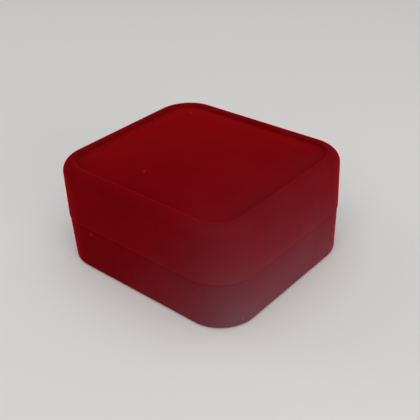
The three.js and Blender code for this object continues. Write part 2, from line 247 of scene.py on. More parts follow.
def add_piece(mesh, body, material, replaced=()):
    """An object of the mesh that rides on a body and wears a material."""
    piece = bpy.data.objects.new(mesh.name, mesh)
    bpy.context.scene.collection.objects.link(piece)
    mesh.materials.clear()
    mesh.materials.append(material)
    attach(piece, body)
    if replaced:
        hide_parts(*replaced)
    return piece


def wear(node, material):
    """Gives a CAD node a material."""
    node.data.materials.clear()
    node.data.materials.append(material)


def ring_faces(rows, columns, start=0):
    """Quads between neighbouring rings of a closed tube, as rows of four indices."""
    row, c = np.meshgrid(np.arange(rows - 1), np.arange(columns), indexing="ij")
    n = (c + 1) % columns
    here, above = row * columns, (row + 1) * columns
    quads = np.stack([here + c, here + n, above + n, above + c])
    return (quads.reshape(4, -1).T + start).tolist()


def capped_rings(rings):
    """Vertices and faces of a stack of rings, whose end rings are closed by a ladder of quads
    across them: vertex i is joined to vertex n - i."""
    rows, columns, _ = rings.shape
    i = np.arange(columns // 2)
    ladder = np.stack([i, i + 1, columns - i - 1, (columns - i) % columns], 1)
    far = (rows - 1) * columns
    ends = [row[::-1] for row in ladder.tolist()] + (ladder + far).tolist()
    ends = [tuple(dict.fromkeys(row)) for row in ends]
    return rings.reshape(-1, 3), ring_faces(rows, columns) + ends


def join_parts(parts):
    """Vertices and faces of several closed bodies as one mesh's."""
    vertices, faces, count = [], [], 0
    for some_vertices, some_faces in parts:
        vertices.append(np.asarray(some_vertices, float))
        faces += [tuple(i + count for i in f) for f in some_faces]
        count += len(some_vertices)
    return np.concatenate(vertices), faces


def arc(centre, radii, start, end, steps):
    """Points centre + (a cos t, b sin t) with t from start to end degrees."""
    t = np.radians(np.linspace(start, end, steps + 1))
    return np.stack([centre[0] + radii[0] * np.cos(t), centre[1] + radii[1] * np.sin(t)], 1)


def line(start, end, steps):
    """Points spaced evenly from start to end, without the two ends."""
    t = np.linspace(0, 1, steps + 2)[1:-1, None]
    return np.array(start) * (1 - t) + np.array(end) * t


# ---- The rounded plan ----------------------------------------------------------------------


def plan_stations(low, high, radii, corner_steps, side_steps, back=None):
    """Stations round a rounded rectangle, anticlockwise from its right-hand back corner.

    A station is a centre C, an outward direction N and a radius r, and the outline inset by i is
    C + (r - i) N. A corner keeps C and turns N, and a side keeps N and moves C and r in even
    steps. back lists places along x for the back side instead.
    """
    signs = np.array([(1, 1), (-1, 1), (-1, -1), (1, -1)], float)
    middle = (np.array(low[:2]) + np.array(high[:2])) / 2
    half = (np.array(high[:2]) - np.array(low[:2])) / 2
    centres, normals, sizes = [], [], []
    for k in range(4):
        m = (k + 1) % 4
        here = middle + signs[k] * (half - radii[k])
        there = middle + signs[m] * (half - radii[m])
        turn = np.radians(90 * k + np.linspace(0, 90, corner_steps + 1))
        centres.append(np.repeat(here[None], corner_steps + 1, 0))
        normals.append(np.stack([np.cos(turn), np.sin(turn)], 1))
        sizes.append(np.full(corner_steps + 1, radii[k]))
        t = np.linspace(0, 1, side_steps + 2)[1:-1]
        if k == 0 and back is not None:
            t = (here[0] - np.sort(np.array(back))[::-1]) / (here[0] - there[0])
        centres.append(here + t[:, None] * (there - here))
        normals.append(np.repeat(normals[-1][-1:], len(t), 0))
        sizes.append(radii[k] + t * (radii[m] - radii[k]))
    return np.concatenate(centres), np.concatenate(normals), np.concatenate(sizes)


def plan_rings(stations, rows):
    """Rings from rows of (inset, z, gather): the outline is inset, and then drawn towards its
    middle by gather."""
    centres, normals, sizes = stations
    rows = np.asarray(rows, float)
    middle = np.round((centres + normals * sizes[:, None]).mean(0), 5)
    inset, z, gather = rows[:, 0], rows[:, 1], rows[:, 2]
    flat = centres + (sizes[None, :, None] - inset[:, None, None]) * normals
    flat = middle + (flat - middle) * gather[:, None, None]
    up = np.repeat(z[:, None], len(centres), 1)[..., None]
    return np.concatenate([flat, up], -1)


def gathered(inset, z, steps):
    """Rows (inset, z, gather) of a flat that grows evenly from a hundredth to full size."""
    g = np.linspace(0, 1, steps + 1)[:-1]
    g[0] = 0.01
    return np.stack([np.full(steps, inset), np.full(steps, z), g], 1)


def with_gather(points):
    """Rows (inset, z, 1) of profile points (inset, z)."""
    points = np.asarray(points, float)
    return np.concatenate([points, np.ones((len(points), 1))], 1)


# ---- The shells ----------------------------------------------------------------------------


def back_columns(shells):
    """Places along x for the shells' back side, close together at the ends of the pockets."""
    near, apart, margin, count = 0.12 * MM, 0.4 * MM, 0.5 * MM, 25
    ends = (PIN_HIGH.x + shells.pocket, BLADE_HIGH.x + shells.pocket)
    steps = [side * (end + d) for side in (-1, 1) for end in ends for d in (-near, near)]
    limit = LID_HIGH.x - shells.corner - margin
    spread = np.linspace(-limit, limit, count)
    clear = [x for x in spread if min(abs(x - s) for s in steps) > apart]
    return sorted(clear + steps)


def hinge_room(x, y, shells):
    """The bevel's rise behind the hinge's axis, the half height of the round pocket for the
    knuckles, which is half the chord of its circle at y, and where that pocket is."""
    slope = math.tan(math.radians((OPENING_DEGREES + 1) / 2))
    rise = slope * np.maximum(y - (AXIS.y - shells.bevel_start), 0)
    radius = AXIS.y - LEAF_LOW.y + shells.pocket
    half = np.sqrt(np.maximum(radius**2 - (y - AXIS.y) ** 2, 0))
    inside = (np.abs(x) < PIN_HIGH.x + shells.pocket) & (np.abs(y - AXIS.y) < radius)
    return rise, half, inside


def lid_edge(x, y, shells):
    """Height of the lid's lower edge: level, then rising along the bevel, and over the knuckles."""
    rise, half, inside = hinge_room(x, y, shells)
    edge = LID_LOW.z + rise
    return np.where(inside, np.maximum(edge, AXIS.z + half), edge)


def base_edge(x, y, shells):
    """Height of the base's upper edge: level, then falling along the bevel, under the knuckles
    and round the snap spring's tip."""
    rise, half, inside = hinge_room(x, y, shells)
    edge = BASE_HIGH.z - rise
    edge = np.where(inside, np.minimum(edge, AXIS.z - half), edge)
    tip = (np.abs(x) < BLADE_HIGH.x + shells.pocket) & (y < BLADE_HIGH.y + shells.pocket)
    tip &= y > AXIS.y - 2 * MM
    return np.where(tip, np.minimum(edge, BLADE_HIGH.z - 3 * shells.pocket), edge)


def shell_rings(stations, rows, draft, seam, edge_of, usual_edge):
    """Rings of a shell from rows of (inset, z, gather, pull).

    A row's height moves by pull times what the edge at that place differs from its usual height,
    and then its inset grows by draft times its height's distance from the seam.
    """
    normals = stations[1]
    rows = np.asarray(rows, float)
    flat = plan_rings(stations, rows[:, :3])
    moved = edge_of(flat[..., 0], flat[..., 1]) - usual_edge
    z = rows[:, 1:2] + rows[:, 3:4] * moved
    lean = draft * np.abs(z - seam) * (rows[:, 2:3] > 0.999)
    xy = flat[..., :2] - lean[..., None] * normals
    return np.concatenate([xy, z[..., None]], -1)


def wall_rows(profile, far_z, edge_z):
    """Rows (inset, z, 1, pull) of profile points, with pull from 0 at far_z to 1 at edge_z."""
    profile = np.asarray(profile, float)
    pull = np.clip((profile[:, 1] - far_z) / (edge_z - far_z), 0, 1)
    return np.column_stack([profile, np.ones(len(profile)), pull])


def no_pull(rows):
    """Rows (inset, z, gather, 0)."""
    return np.column_stack([rows, np.zeros(len(rows))])


def lid_rows(shells):
    """The lid's section: from the panel's middle over the rim, down the wall, round the edge
    and up inside to the ceiling's middle. The panel is a quarter sine that rises from its edge
    to a shallow dome, and the rim rolls into it over an ellipse outward and one inward. The
    border holds the share in_border of the dome's rise, and the foot in_foot of the recess."""
    top, edge_z, wall = LID_HIGH.z, LID_LOW.z - shells.pile, shells.wall
    fillet, across, e = shells.rim_fillet, shells.rim_rounding, shells.edge
    panel_z = top - shells.recess
    foot, margin = shells.rim_width + shells.rim_foot, 0.6 * MM
    reach = min(shells.crown_reach, shells.corner - foot - margin)
    in_border, in_foot = 0.65, 0.36
    t = np.linspace(1, 0, 22)
    border_z = panel_z + in_border * shells.crown * np.sin(t * math.pi / 2)
    border = with_gather(np.column_stack([foot + t * reach, border_z]))
    inner = gathered(foot + reach, 0, 12)
    inner[:, 1] = panel_z + shells.crown * (1 - (1 - in_border) * inner[:, 2] ** 2)
    drop = in_foot * shells.recess
    rim = [
        arc((foot, panel_z + drop), (shells.rim_foot, drop), 270, 180, 6)[1:],
        arc(
            (shells.rim_width - across, panel_z + drop), (across, shells.recess - drop), 0, 90, 10
        )[1:],
        arc((fillet, top - fillet), (fillet, fillet), 90, 180, 16)[1:],
    ]
    outer_top = top - fillet
    down = line((0, outer_top), (0, edge_z + e), 16)
    lip = [
        down,
        arc((e, edge_z + e), (e, e), 180, 270, 6),
        line((e, edge_z), (wall - e, edge_z), 10),
        arc((wall - e, edge_z + e), (e, e), 270, 360, 6),
    ]
    ceiling = panel_z - shells.panel
    inner_r = shells.inner_rounding
    up = line((wall, edge_z + e), (wall, ceiling - inner_r), 14)
    cove = arc((wall + inner_r, ceiling - inner_r), (inner_r, inner_r), 180, 90, 6)
    under = gathered(wall + inner_r, ceiling, 6)[::-1]
    return np.concatenate(
        [
            no_pull(inner),
            no_pull(border),
            wall_rows(np.concatenate(rim), outer_top, edge_z + e),
            wall_rows(np.concatenate(lip), outer_top, edge_z + e),
            wall_rows(up, ceiling - inner_r, edge_z + e),
            no_pull(with_gather(cove)),
            no_pull(under),
        ]
    )


def base_rows(shells):
    """The base's section: from the underside's middle out, round the foot, up the wall, round
    the edge and down inside to the floor's middle."""
    top, wall, out = BASE_HIGH.z + shells.pile, shells.wall, shells.set_back
    e, foot, inner_r = shells.edge, shells.foot_fillet, shells.inner_rounding
    under = gathered(out + foot, 0, 8)
    lip = [
        line((out, foot), (out, top - e), 16),
        arc((out + e, top - e), (e, e), 180, 90, 6),
        line((out + e, top), (out + wall - e, top), 10),
        arc((out + wall - e, top - e), (e, e), 90, 0, 6),
    ]
    down = line((out + wall, top - e), (out + wall, shells.floor + inner_r), 14)
    cove = arc((out + wall + inner_r, shells.floor + inner_r), (inner_r, inner_r), 180, 270, 6)
    inside = gathered(out + wall + inner_r, shells.floor, 6)[::-1]
    return np.concatenate(
        [
            no_pull(under),
            no_pull(with_gather(arc((out + foot, foot), (foot, foot), 270, 180, 8))),
            wall_rows(np.concatenate(lip), foot, top - e),
            wall_rows(down, shells.floor + inner_r, top - e),
            no_pull(with_gather(cove)),
            no_pull(inside),
        ]
    )


def shell_stations(shells):
    """Stations round the box's outline at the seam."""
    low = (LID_LOW.x, LID_LOW.y)
    high = (LID_HIGH.x, -LID_LOW.y)
    return plan_stations(low, high, [shells.corner] * 4, 18, 15, back_columns(shells))


def lathe(profile, centre, direction, columns=32):
    """A body of revolution: profile points (distance along direction, radius) from pole to pole."""
    profile = np.asarray(profile, float)
    t = np.linspace(0, 2 * math.pi, columns, endpoint=False)
    axis = np.array(direction, float)
    side = np.array((0, 0, 1.0)) if abs(axis[2]) < 0.5 else np.array((1.0, 0, 0))
    other = np.cross(axis, side)
    spokes = np.cos(t)[:, None] * side + np.sin(t)[:, None] * other
    rings = np.array(centre, float) + profile[:, None, None, 0] * axis
    rings = rings + profile[:, None, None, 1] * spokes
    return capped_rings(rings)


def stakes(hinge, wall_y, z):
    """The two stakes of a shell, from its wall forward: a tapered shoulder behind the leaf, a
    shank through it and a domed head in front."""
    clear = 0.1 * MM
    back = wall_y - (LEAF_LOW.y + hinge.sheet + clear)
    front = wall_y - (LEAF_LOW.y - clear)
    dome = arc((0, 0), (hinge.stake_head_rise, hinge.stake_head), 90, 4, 8)
    profile = [
        (0, hinge.stake_shoulder + 0.3 * MM),
        (back, hinge.stake_shoulder),
        (back, hinge.stake_radius),
        (front, hinge.stake_radius),
        (front, hinge.stake_head - 0.06 * MM),
        *((front + a, r) for a, r in dome),
    ]
    x = LEAF_HIGH.x - hinge.stake_inset
    return join_parts([lathe(profile, (side * x, wall_y, z), (0, -1, 0)) for side in (-1, 1)])


# ---- The lining ----------------------------------------------------------------------------


def collar_piece(lining, shells):
    """The collar: a round-edged strip carried along the plan and open over the hinge. Each end
    closes in a half round, where the section shrinks by cos t as the path runs on by sin t."""
    wall, half = lining.collar_wall, lining.collar_wall / 2
    bottom, top = COLLAR_LOW.z, COLLAR_HIGH.z
    inset = LID_HIGH.x - COLLAR_HIGH.x
    low = (LID_LOW.x + inset, LID_LOW.y + inset)
    high = (LID_HIGH.x - inset, -LID_LOW.y - inset)
    radius = shells.corner - inset
    centres, normals, _ = plan_stations(low, high, [radius] * 4, 18, 15, [0.0])
    # The path starts and ends beside the hinge, so it leaves out the one station behind it.
    behind = int(np.argmin(np.abs(centres[:, 0]) + 9 * (normals[:, 1] < 0.99)))
    order = np.roll(np.arange(len(centres)), -behind - 1)[:-1]
    open_half = LEAF_HIGH.x + 4 * MM
    start, end = [-open_half, high[1] - radius], [open_half, high[1] - radius]
    t = np.radians([80, 60, 40, 20])
    rounds = len(t)
    centres = np.array([start] * (rounds + 1) + centres[order].tolist() + [end] * (rounds + 1))
    normals = np.array([[0, 1]] * (rounds + 1) + normals[order].tolist() + [[0, 1]] * (rounds + 1))
    section = np.concatenate(
        [
            line((0, bottom + half), (0, top - half), 16),
            arc((half, top - half), (half, half), 180, 0, 10),
            line((wall, top - half), (wall, bottom + half), 16),
            arc((half, bottom + half), (half, half), 0, -180, 8),
        ]
    )
    whole = len(centres) - 2 * rounds
    keep = np.concatenate([np.cos(t), np.ones(whole), np.cos(t[::-1])])[:, None]
    push = np.concatenate([np.sin(t), np.zeros(whole), -np.sin(t[::-1])])[:, None] * half
    offset = half + (section[:, 0] - half) * keep
    middle = (bottom + top) / 2
    lower = 1 - (1 - keep) * wall / (top - bottom)
    z = middle + (section[:, 1] - middle) * lower
    lean = shells.base_draft * (LID_LOW.z - z)
    xy = centres[:, None] + (radius - offset - lean)[..., None] * normals[:, None]
    xy[..., 0] += push
    return capped_rings(np.concatenate([xy, z[..., None]], -1))


def roll_rings(lining, low, high, front):
    """A foam roll under its velvet: straight sides, round shoulders and a crowned top, where the
    height falls from the middle by the square of the distance out."""
    outer, slot = lining.outer_corner, lining.slot_corner
    rear_corner = outer - 0.9 * MM
    radii = [slot, slot, outer, outer] if front else [rear_corner, rear_corner, slot, slot]
    cover = 0.35 * MM
    low = (low.x - cover, low.y - cover, CUSHION_LOW.z)
    high = (high.x + cover, high.y + cover, CUSHION_HIGH.z)
    stations = plan_stations(low, high, radii, 10, 22)
    foot, across, down = 0.8 * MM, lining.shoulder, lining.shoulder * 0.8
    puff_room = 0.5 * MM
    top = high[2] - puff_room - lining.roll_crown
    under = gathered(foot, low[2], 6)
    side = [
        arc((foot, low[2] + foot), (foot, foot), 270, 180, 3),
        line((0, low[2] + foot), (0, top - down), 6),
        arc((across, top - down), (across, down), 180, 90, 8),
    ]
    crown = gathered(across, 0, 12)[::-1]
    crown[:, 1] = top + lining.roll_crown * (1 - crown[:, 2] ** 2)
    return plan_rings(stations, np.concatenate([under, with_gather(np.concatenate(side)), crown]))


def strip_piece(lining):
    """The velvet at the slot's floor: a shallow trough, flat in the middle, whose height then
    grows by the square of the distance out. Its sides tuck under the rolls."""
    half_width, half_length = 3.1 * MM, CUSHION_HIGH.x - 1.4 * MM
    flat, turn_up = 0.6, 0.7 * MM
    u = np.linspace(-1, 1, 25)
    rise = turn_up * (np.maximum(np.abs(u) - flat, 0) / (1 - flat)) ** 2
    upper = np.column_stack([half_width * u, CUSHION_LOW.z + lining.strip + rise])
    lower = np.column_stack([half_width * u, np.full(len(u), CUSHION_LOW.z + 0.05 * MM)])
    section = np.concatenate([upper, lower[::-1]])
    x = np.linspace(-half_length, half_length, 40)
    rings = np.empty((len(x), len(section), 3))
    rings[..., 0] = x[:, None]
    rings[..., 1:] = section
    return capped_rings(rings)


def satin_rings(lining, shells):
    """The lid pad's satin: flat against its card and puffed below, with gathers along its edge.
    A gather is a wave along the outline that fades with the square of the distance inward."""
    clear = 0.3 * MM
    low = (SATIN_LOW.x + clear, SATIN_LOW.y + clear)
    high = (SATIN_HIGH.x - clear, SATIN_HIGH.y - clear)
    radius = shells.corner - (LID_HIGH.x - SATIN_HIGH.x)
    stations = plan_stations(low, high, [radius] * 4, 18, 27)
    top, bottom = SATIN_HIGH.z, SATIN_LOW.z + 0.15 * MM
    hem, lip, fall, sag = 0.6 * MM, 1.3 * MM, 0.51 * MM, 0.15 * MM
    reach = radius - lip - 1 * MM
    flat = gathered(hem, top, 6)
    turn = arc((hem, top - hem), (hem, hem), 90, 180, 3)
    side = arc((lip, top - lip), (lip, top - lip - bottom + 0.4 * MM), 185, 265, 9)
    t = np.linspace(0.06, 1, 20)
    slope_z = bottom - 0.2 * MM - fall * np.sin(t * math.pi / 2)
    slope = np.column_stack([lip + reach * t, slope_z])
    inner = gathered(lip + reach, 0, 12)[::-1]
    inner[:, 1] = slope_z[-1] - sag * (1 - inner[:, 2] ** 2)
    rows = np.concatenate([flat, with_gather(np.concatenate([turn, side, slope])), inner])
    rings = plan_rings(stations, rows)
    outline = rings[len(flat) + 3]
    step = np.linalg.norm(np.roll(outline, -1, 0) - outline, axis=1)
    along = np.concatenate([[0], np.cumsum(step)[:-1]])
    phase = 2 * math.pi * along / (step.sum() / round(step.sum() / lining.pleat_pitch))
    wave = np.sin(phase) + 0.5 * np.sin(phase * 0.37 + 1)
    first, count = len(flat) + len(turn), 26
    fade = np.zeros(len(rows))
    fade[first : first + count] = np.linspace(1, 0, count) ** 2
    rings[..., 2] += lining.pleat * fade[:, None] * wave
    return rings


def stuff(name, rings, held, cap, pressure=4.0, scale=10.0, frames=20):
    """Blows a closed cover up with cloth simulation and gives back its vertices and faces.

    held is the height, above or below which the cover is glued. The cover is simulated at scale
    times its size, and no point may move further than cap.
    """
    vertices, faces = capped_rings(rings)
    mesh = closed_mesh(name + "_cover", vertices * scale, faces)
    cover = bpy.data.objects.new(name + "_cover", mesh)
    bpy.context.scene.collection.objects.link(cover)
    group = cover.vertex_groups.new(name="glued")
    glued = np.nonzero(held(vertices))[0]
    group.add(glued.tolist(), 1.0, "REPLACE")
    cloth = cover.modifiers.new("Cloth", "CLOTH")
    cloth.settings.quality = 5
    cloth.settings.mass = 0.2
    cloth.settings.tension_stiffness = 12
    cloth.settings.compression_stiffness = 12
    cloth.settings.shear_stiffness = 6
    cloth.settings.bending_stiffness = 0.3
    cloth.settings.use_pressure = True
    cloth.settings.uniform_pressure_force = pressure
    cloth.settings.vertex_group_mass = "glued"
    cloth.settings.effector_weights.gravity = 0
    cloth.point_cache.frame_start = 1
    cloth.point_cache.frame_end = frames
    for number in range(1, frames + 1):
        bpy.context.scene.frame_set(number)
    blown = cover.evaluated_get(bpy.context.evaluated_depsgraph_get()).to_mesh()
    found = np.empty(len(vertices) * 3)
    blown.vertices.foreach_get("co", found)
    moved = found.reshape(-1, 3) / scale - vertices
    far = np.linalg.norm(moved, axis=1, keepdims=True)
    moved *= cap * np.tanh(far / cap) / np.maximum(far, 1e-9)
    bpy.context.scene.frame_set(1)
    bpy.data.objects.remove(cover)
    bpy.data.meshes.remove(mesh)
    return vertices + moved, faces


# ---- The hinge -----------------------------------------------------------------------------


def extrusion(section, start, end, across):
    """A closed section of (a, b) points carried straight from start to end along the first axis
    of across, with a on its second axis and b on its third."""
    section = np.asarray(section, float)
    rings = np.empty((2, len(section), 3))
    rings[:, :, across[0]] = np.array([start, end])[:, None]
    rings[:, :, across[1]] = section[:, 0]
    rings[:, :, across[2]] = section[:, 1]
    count = len(section)
    ends = [tuple(range(count))[::-1], tuple(range(count, 2 * count))]
    return rings.reshape(-1, 3), [tuple(f) for f in ring_faces(2, count)] + ends


def curl_section(hinge, side, flats=()):
    """Section of a leaf rolled round the pin, as (y, z): a ring of sheet that starts at the front
    and runs over the axis on the side of +1 or -1, with each flat pressed into its outside."""
    inner = hinge.bore
    turned, least = 318, 0.5
    t = np.radians(np.linspace(180, 180 - turned, 60))
    radius = np.full(len(t), inner + hinge.sheet)
    for flat in flats:
        facing = np.cos(t * side - math.radians(flat))
        pressed = np.minimum(radius, hinge.flat / np.maximum(facing, least))
        radius = np.where(facing > least, pressed, radius)
    outside = np.column_stack([AXIS.y + radius * np.cos(t), AXIS.z + side * radius * np.sin(t)])
    inside = np.column_stack([AXIS.y + inner * np.cos(t), AXIS.z + side * inner * np.sin(t)])
    return np.concatenate([outside, inside[::-1]])


def leaf_outline(hinge, half, near_z, far_z, notches):
    """Outline of a leaf's plate, as (x, z): near the axis it is cut to the notches' (x, z) points,
    and its two far corners are rounded."""
    r = hinge.leaf_corner * (1 if far_z > near_z else -1)
    right = arc((half - abs(r), far_z - r), (abs(r), r), 0, 90, 6)
    left = arc((abs(r) - half, far_z - r), (abs(r), r), 90, 180, 6)
    return np.concatenate([right, left, np.array(notches)])


def drill(x, y, z, radius):
    """A short bar along y that cuts a hole through a sheet at y."""
    reach = 2 * MM
    return lathe([(-reach, radius), (reach, radius)], (x, y, z), (0, 1, 0), 24)


def loose_object(vertices, faces):
    """An object of a closed body, with its faces pointing out."""
    mesh = bpy.data.meshes.new("loose")
    mesh.from_pydata(np.asarray(vertices).tolist(), [], [tuple(map(int, f)) for f in faces])
    work = bmesh.new()
    work.from_mesh(mesh)
    bmesh.ops.recalc_face_normals(work, faces=work.faces)
    work.to_mesh(mesh)
    work.free()
    body = bpy.data.objects.new("loose", mesh)
    bpy.context.scene.collection.objects.link(body)
    return body


def sheet_metal(name, parts, hinge, holes=()):
    """A mesh of stamped parts joined into one body and drilled, with a fine bevel on its edges."""
    bodies = [loose_object(*part) for part in (*parts, *holes)]
    for number, other in enumerate(bodies[1:], 1):
        step = bodies[0].modifiers.new("Cut", "BOOLEAN")
        step.operation = "UNION" if number < len(parts) else "DIFFERENCE"
        step.solver = "EXACT"
        step.object = other
    bevel = bodies[0].modifiers.new("Edge break", "BEVEL")
    bevel.width = hinge.burr
    bevel.segments = 2
    bevel.limit_method = "ANGLE"
    bevel.angle_limit = math.radians(40)
    shown = bodies[0].evaluated_get(bpy.context.evaluated_depsgraph_get())
    made = bpy.data.meshes.new_from_object(shown)
    for body in bodies:
        bpy.data.meshes.remove(body.data)
    made.name = name
    made.shade_smooth()
    made.set_sharp_from_angle(angle=math.radians(32))
    return made


# ---- Materials -----------------------------------------------------------------------------


def add_node(tree, kind, values=None, links=None, **settings):
    """Adds a node with its settings, the values of its inputs and the outputs that feed them."""
    node = tree.nodes.new(kind)
    for key, value in settings.items():
        setattr(node, key, value)
    for key, value in (values or {}).items():
        node.inputs[key].default_value = value
    for key, (other, output) in (links or {}).items():
        tree.links.new(other.outputs[output], node.inputs[key])
    return node


def new_material(name):
    """An empty node material, its tree and the link that feeds its object coordinates."""
    material = bpy.data.materials.new(name)
    material.use_nodes = True
    tree = material.node_tree
    tree.nodes.clear()
    return material, tree, {"Vector": (add_node(tree, "ShaderNodeTexCoord"), "Object")}


def finish_material(material, tree, shader):
    """Shows the shader on the material's surface."""
    add_node(tree, "ShaderNodeOutputMaterial", links={"Surface": (shader, "BSDF")})
    return material


def per(millimetres):
    """The noise scale at which a feature is this many millimetres across."""
    return 1 / (millimetres * MM)


def darker(tone, share):
    """A colour whose red, green and blue are this share of the tone's."""
    return (*(c * share for c in tone[:3]), 1.0)


def noise_of(size, detail, rough):
    """The values of a noise whose features are this many millimetres across."""
    return {"Scale": per(size), "Detail": detail, "Roughness": rough}


def pile_colour(tree, place, upright, leaning, fibre, nap):
    """Nodes of a pile's colour: patches nap millimetres across between its two colours, broken
    up by tufts of five fibres. Gives back the colour, the tufts and the single fibres."""
    patches = add_node(tree, "ShaderNodeTexNoise", noise_of(nap, 3.0, 0.55), place)
    tufts = add_node(tree, "ShaderNodeTexNoise", noise_of(fibre * 5, 4.0, 0.7), place)
    fuzz = add_node(tree, "ShaderNodeTexNoise", noise_of(fibre, 2.0, 0.6), place)
    both = add_node(
        tree,
        "ShaderNodeMath",
        {1: 0.4},
        {0: (tufts, "Fac"), 2: (patches, "Fac")},
        operation="MULTIPLY_ADD",
    )
    lay = add_node(
        tree,
        "ShaderNodeMapRange",
        {"From Min": 0.5, "From Max": 0.9},
        {"Value": (both, "Value")},
        interpolation_type="SMOOTHSTEP",
    )
    pile = add_node(
        tree,
        "ShaderNodeMix",
        {"A": tuple(leaning), "B": tuple(upright)},
        {"Factor": (lay, "Result")},
        data_type="RGBA",
    )
    return pile, tufts, fuzz


def pile_shader(tree, colour_from, tufts, fuzz, sheen, lift):
    """The pile's shader over its colour, with the fuzz and tufts raised by lift millimetres.
    sheen is (weight, roughness, tint). Cut pile gives no mirror light at all."""
    weight, rough, tint = sheen
    height = add_node(
        tree, "ShaderNodeMath", {}, {0: (fuzz, "Fac"), 1: (tufts, "Fac")}, operation="ADD"
    )
    raised = {"Strength": 0.55, "Distance": lift * MM}
    bump = add_node(tree, "ShaderNodeBump", raised, {"Height": (height, "Value")})
    finish = {
        "Roughness": 0.92,
        "Specular IOR Level": 0.0,
        "Sheen Weight": weight,
        "Sheen Roughness": rough,
        "Sheen Tint": tint,
    }
    fed = {"Base Color": colour_from, "Normal": (bump, "Normal")}
    return add_node(tree, "ShaderNodeBsdfPrincipled", finish, fed)


def seam_highlight_and_shade(tree, place):
    """A grey that is 1 on the lid, paler in a painted highlight along the lip at its lower edge and
    deeper in painted shade on the base. The ramp's stops are places in the height's band round the
    seam."""
    seam, half_band = (LID_LOW.z + BASE_HIGH.z) / 2, 1.5 * MM
    height = add_node(tree, "ShaderNodeSeparateXYZ", links=place)
    level = add_node(
        tree,
        "ShaderNodeMapRange",
        {"From Min": seam - half_band, "From Max": seam + half_band},
        {"Value": (height, "Z")},
    )
    tone = add_node(tree, "ShaderNodeValToRGB", links={"Fac": (level, "Result")})
    stops = tone.color_ramp.elements
    # The lip's paler grey is a painted highlight, and the base's deeper grey is painted shade.
    base, lid, lip = (0.86, 0.86, 0.86, 1.0), (1.0, 1.0, 1.0, 1.0), (1.16, 1.2, 1.2, 1.0)
    stops[0].position, stops[0].color = 0.48, base
    stops[1].position, stops[1].color = 0.95, lid
    stops.new(0.52).color = lip
    return tone


def recess_sheen_share(tree, place):
    """How much of the brighter tone, a painted sheen, the lid's recess takes: it grows evenly to 1
    at the recess's rear left corner, and it is 0 outside the recess."""
    rim, panel = 4.6 * MM, LID_HIGH.z - 1.5 * MM
    sizes = (1 / (LID_HIGH.x - rim), 1 / (-LID_LOW.y - rim), 0.0)
    scaled = add_node(
        tree, "ShaderNodeVectorMath", {1: sizes}, {0: place["Vector"]}, operation="MULTIPLY"
    )
    apart = add_node(
        tree, "ShaderNodeVectorMath", links={0: (scaled, "Vector")}, operation="ABSOLUTE"
    )
    sides = add_node(tree, "ShaderNodeSeparateXYZ", links={"Vector": (apart, "Vector")})
    out = add_node(
        tree, "ShaderNodeMath", links={0: (sides, "X"), 1: (sides, "Y")}, operation="MAXIMUM"
    )
    inside = add_node(
        tree,
        "ShaderNodeMapRange",
        {"From Min": 0.92, "From Max": 1.0, "To Min": 1.0, "To Max": 0.0},
        {"Value": (out, "Value")},
        interpolation_type="SMOOTHSTEP",
    )
    heights = add_node(tree, "ShaderNodeSeparateXYZ", links=place)
    above = add_node(
        tree,
        "ShaderNodeMapRange",
        {"From Min": panel, "From Max": panel + 0.3 * MM},
        {"Value": (heights, "Z")},
    )
    rearward = (-0.67, 0.74, 0.0)
    across = add_node(
        tree, "ShaderNodeVectorMath", {1: rearward}, {0: place["Vector"]}, operation="DOT_PRODUCT"
    )
    rear = add_node(
        tree,
        "ShaderNodeMapRange",
        {"From Min": -8 * MM, "From Max": 30 * MM},
        {"Value": (across, "Value")},
    )
    here = {0: (inside, "Result"), 1: (above, "Result")}
    panel_only = add_node(tree, "ShaderNodeMath", links=here, operation="MULTIPLY")
    both = {0: (panel_only, "Value"), 1: (rear, "Result")}
    return add_node(tree, "ShaderNodeMath", links=both, operation="MULTIPLY")


def pale_sheen_share(tree, place):
    """How much of the paler tone, a painted sheen, the flock takes: a slope across the box, made a
    little uneven by a noise, is 0 over most of it and grows by the fifth power to 1 at its lower
    right."""
    slope, start, end, sharpness = (10.87, -1.48, -10.86), -0.514, 0.45, 5.0
    toward = add_node(
        tree, "ShaderNodeVectorMath", {1: slope}, {0: place["Vector"]}, operation="DOT_PRODUCT"
    )
    uneven = add_node(tree, "ShaderNodeTexNoise", noise_of(16.0, 2.0, 0.5), place)
    both = {0: (uneven, "Fac"), 2: (toward, "Value")}
    reached = add_node(tree, "ShaderNodeMath", {1: 0.12}, both, operation="MULTIPLY_ADD")
    near = add_node(
        tree,
        "ShaderNodeMapRange",
        {"From Min": start, "From Max": end, "To Max": 1.0},
        {"Value": (reached, "Value")},
    )
    return add_node(
        tree,
        "ShaderNodeMath",
        {1: sharpness},
        {0: (near, "Result")},
        operation="POWER",
        use_clamp=True,
    )


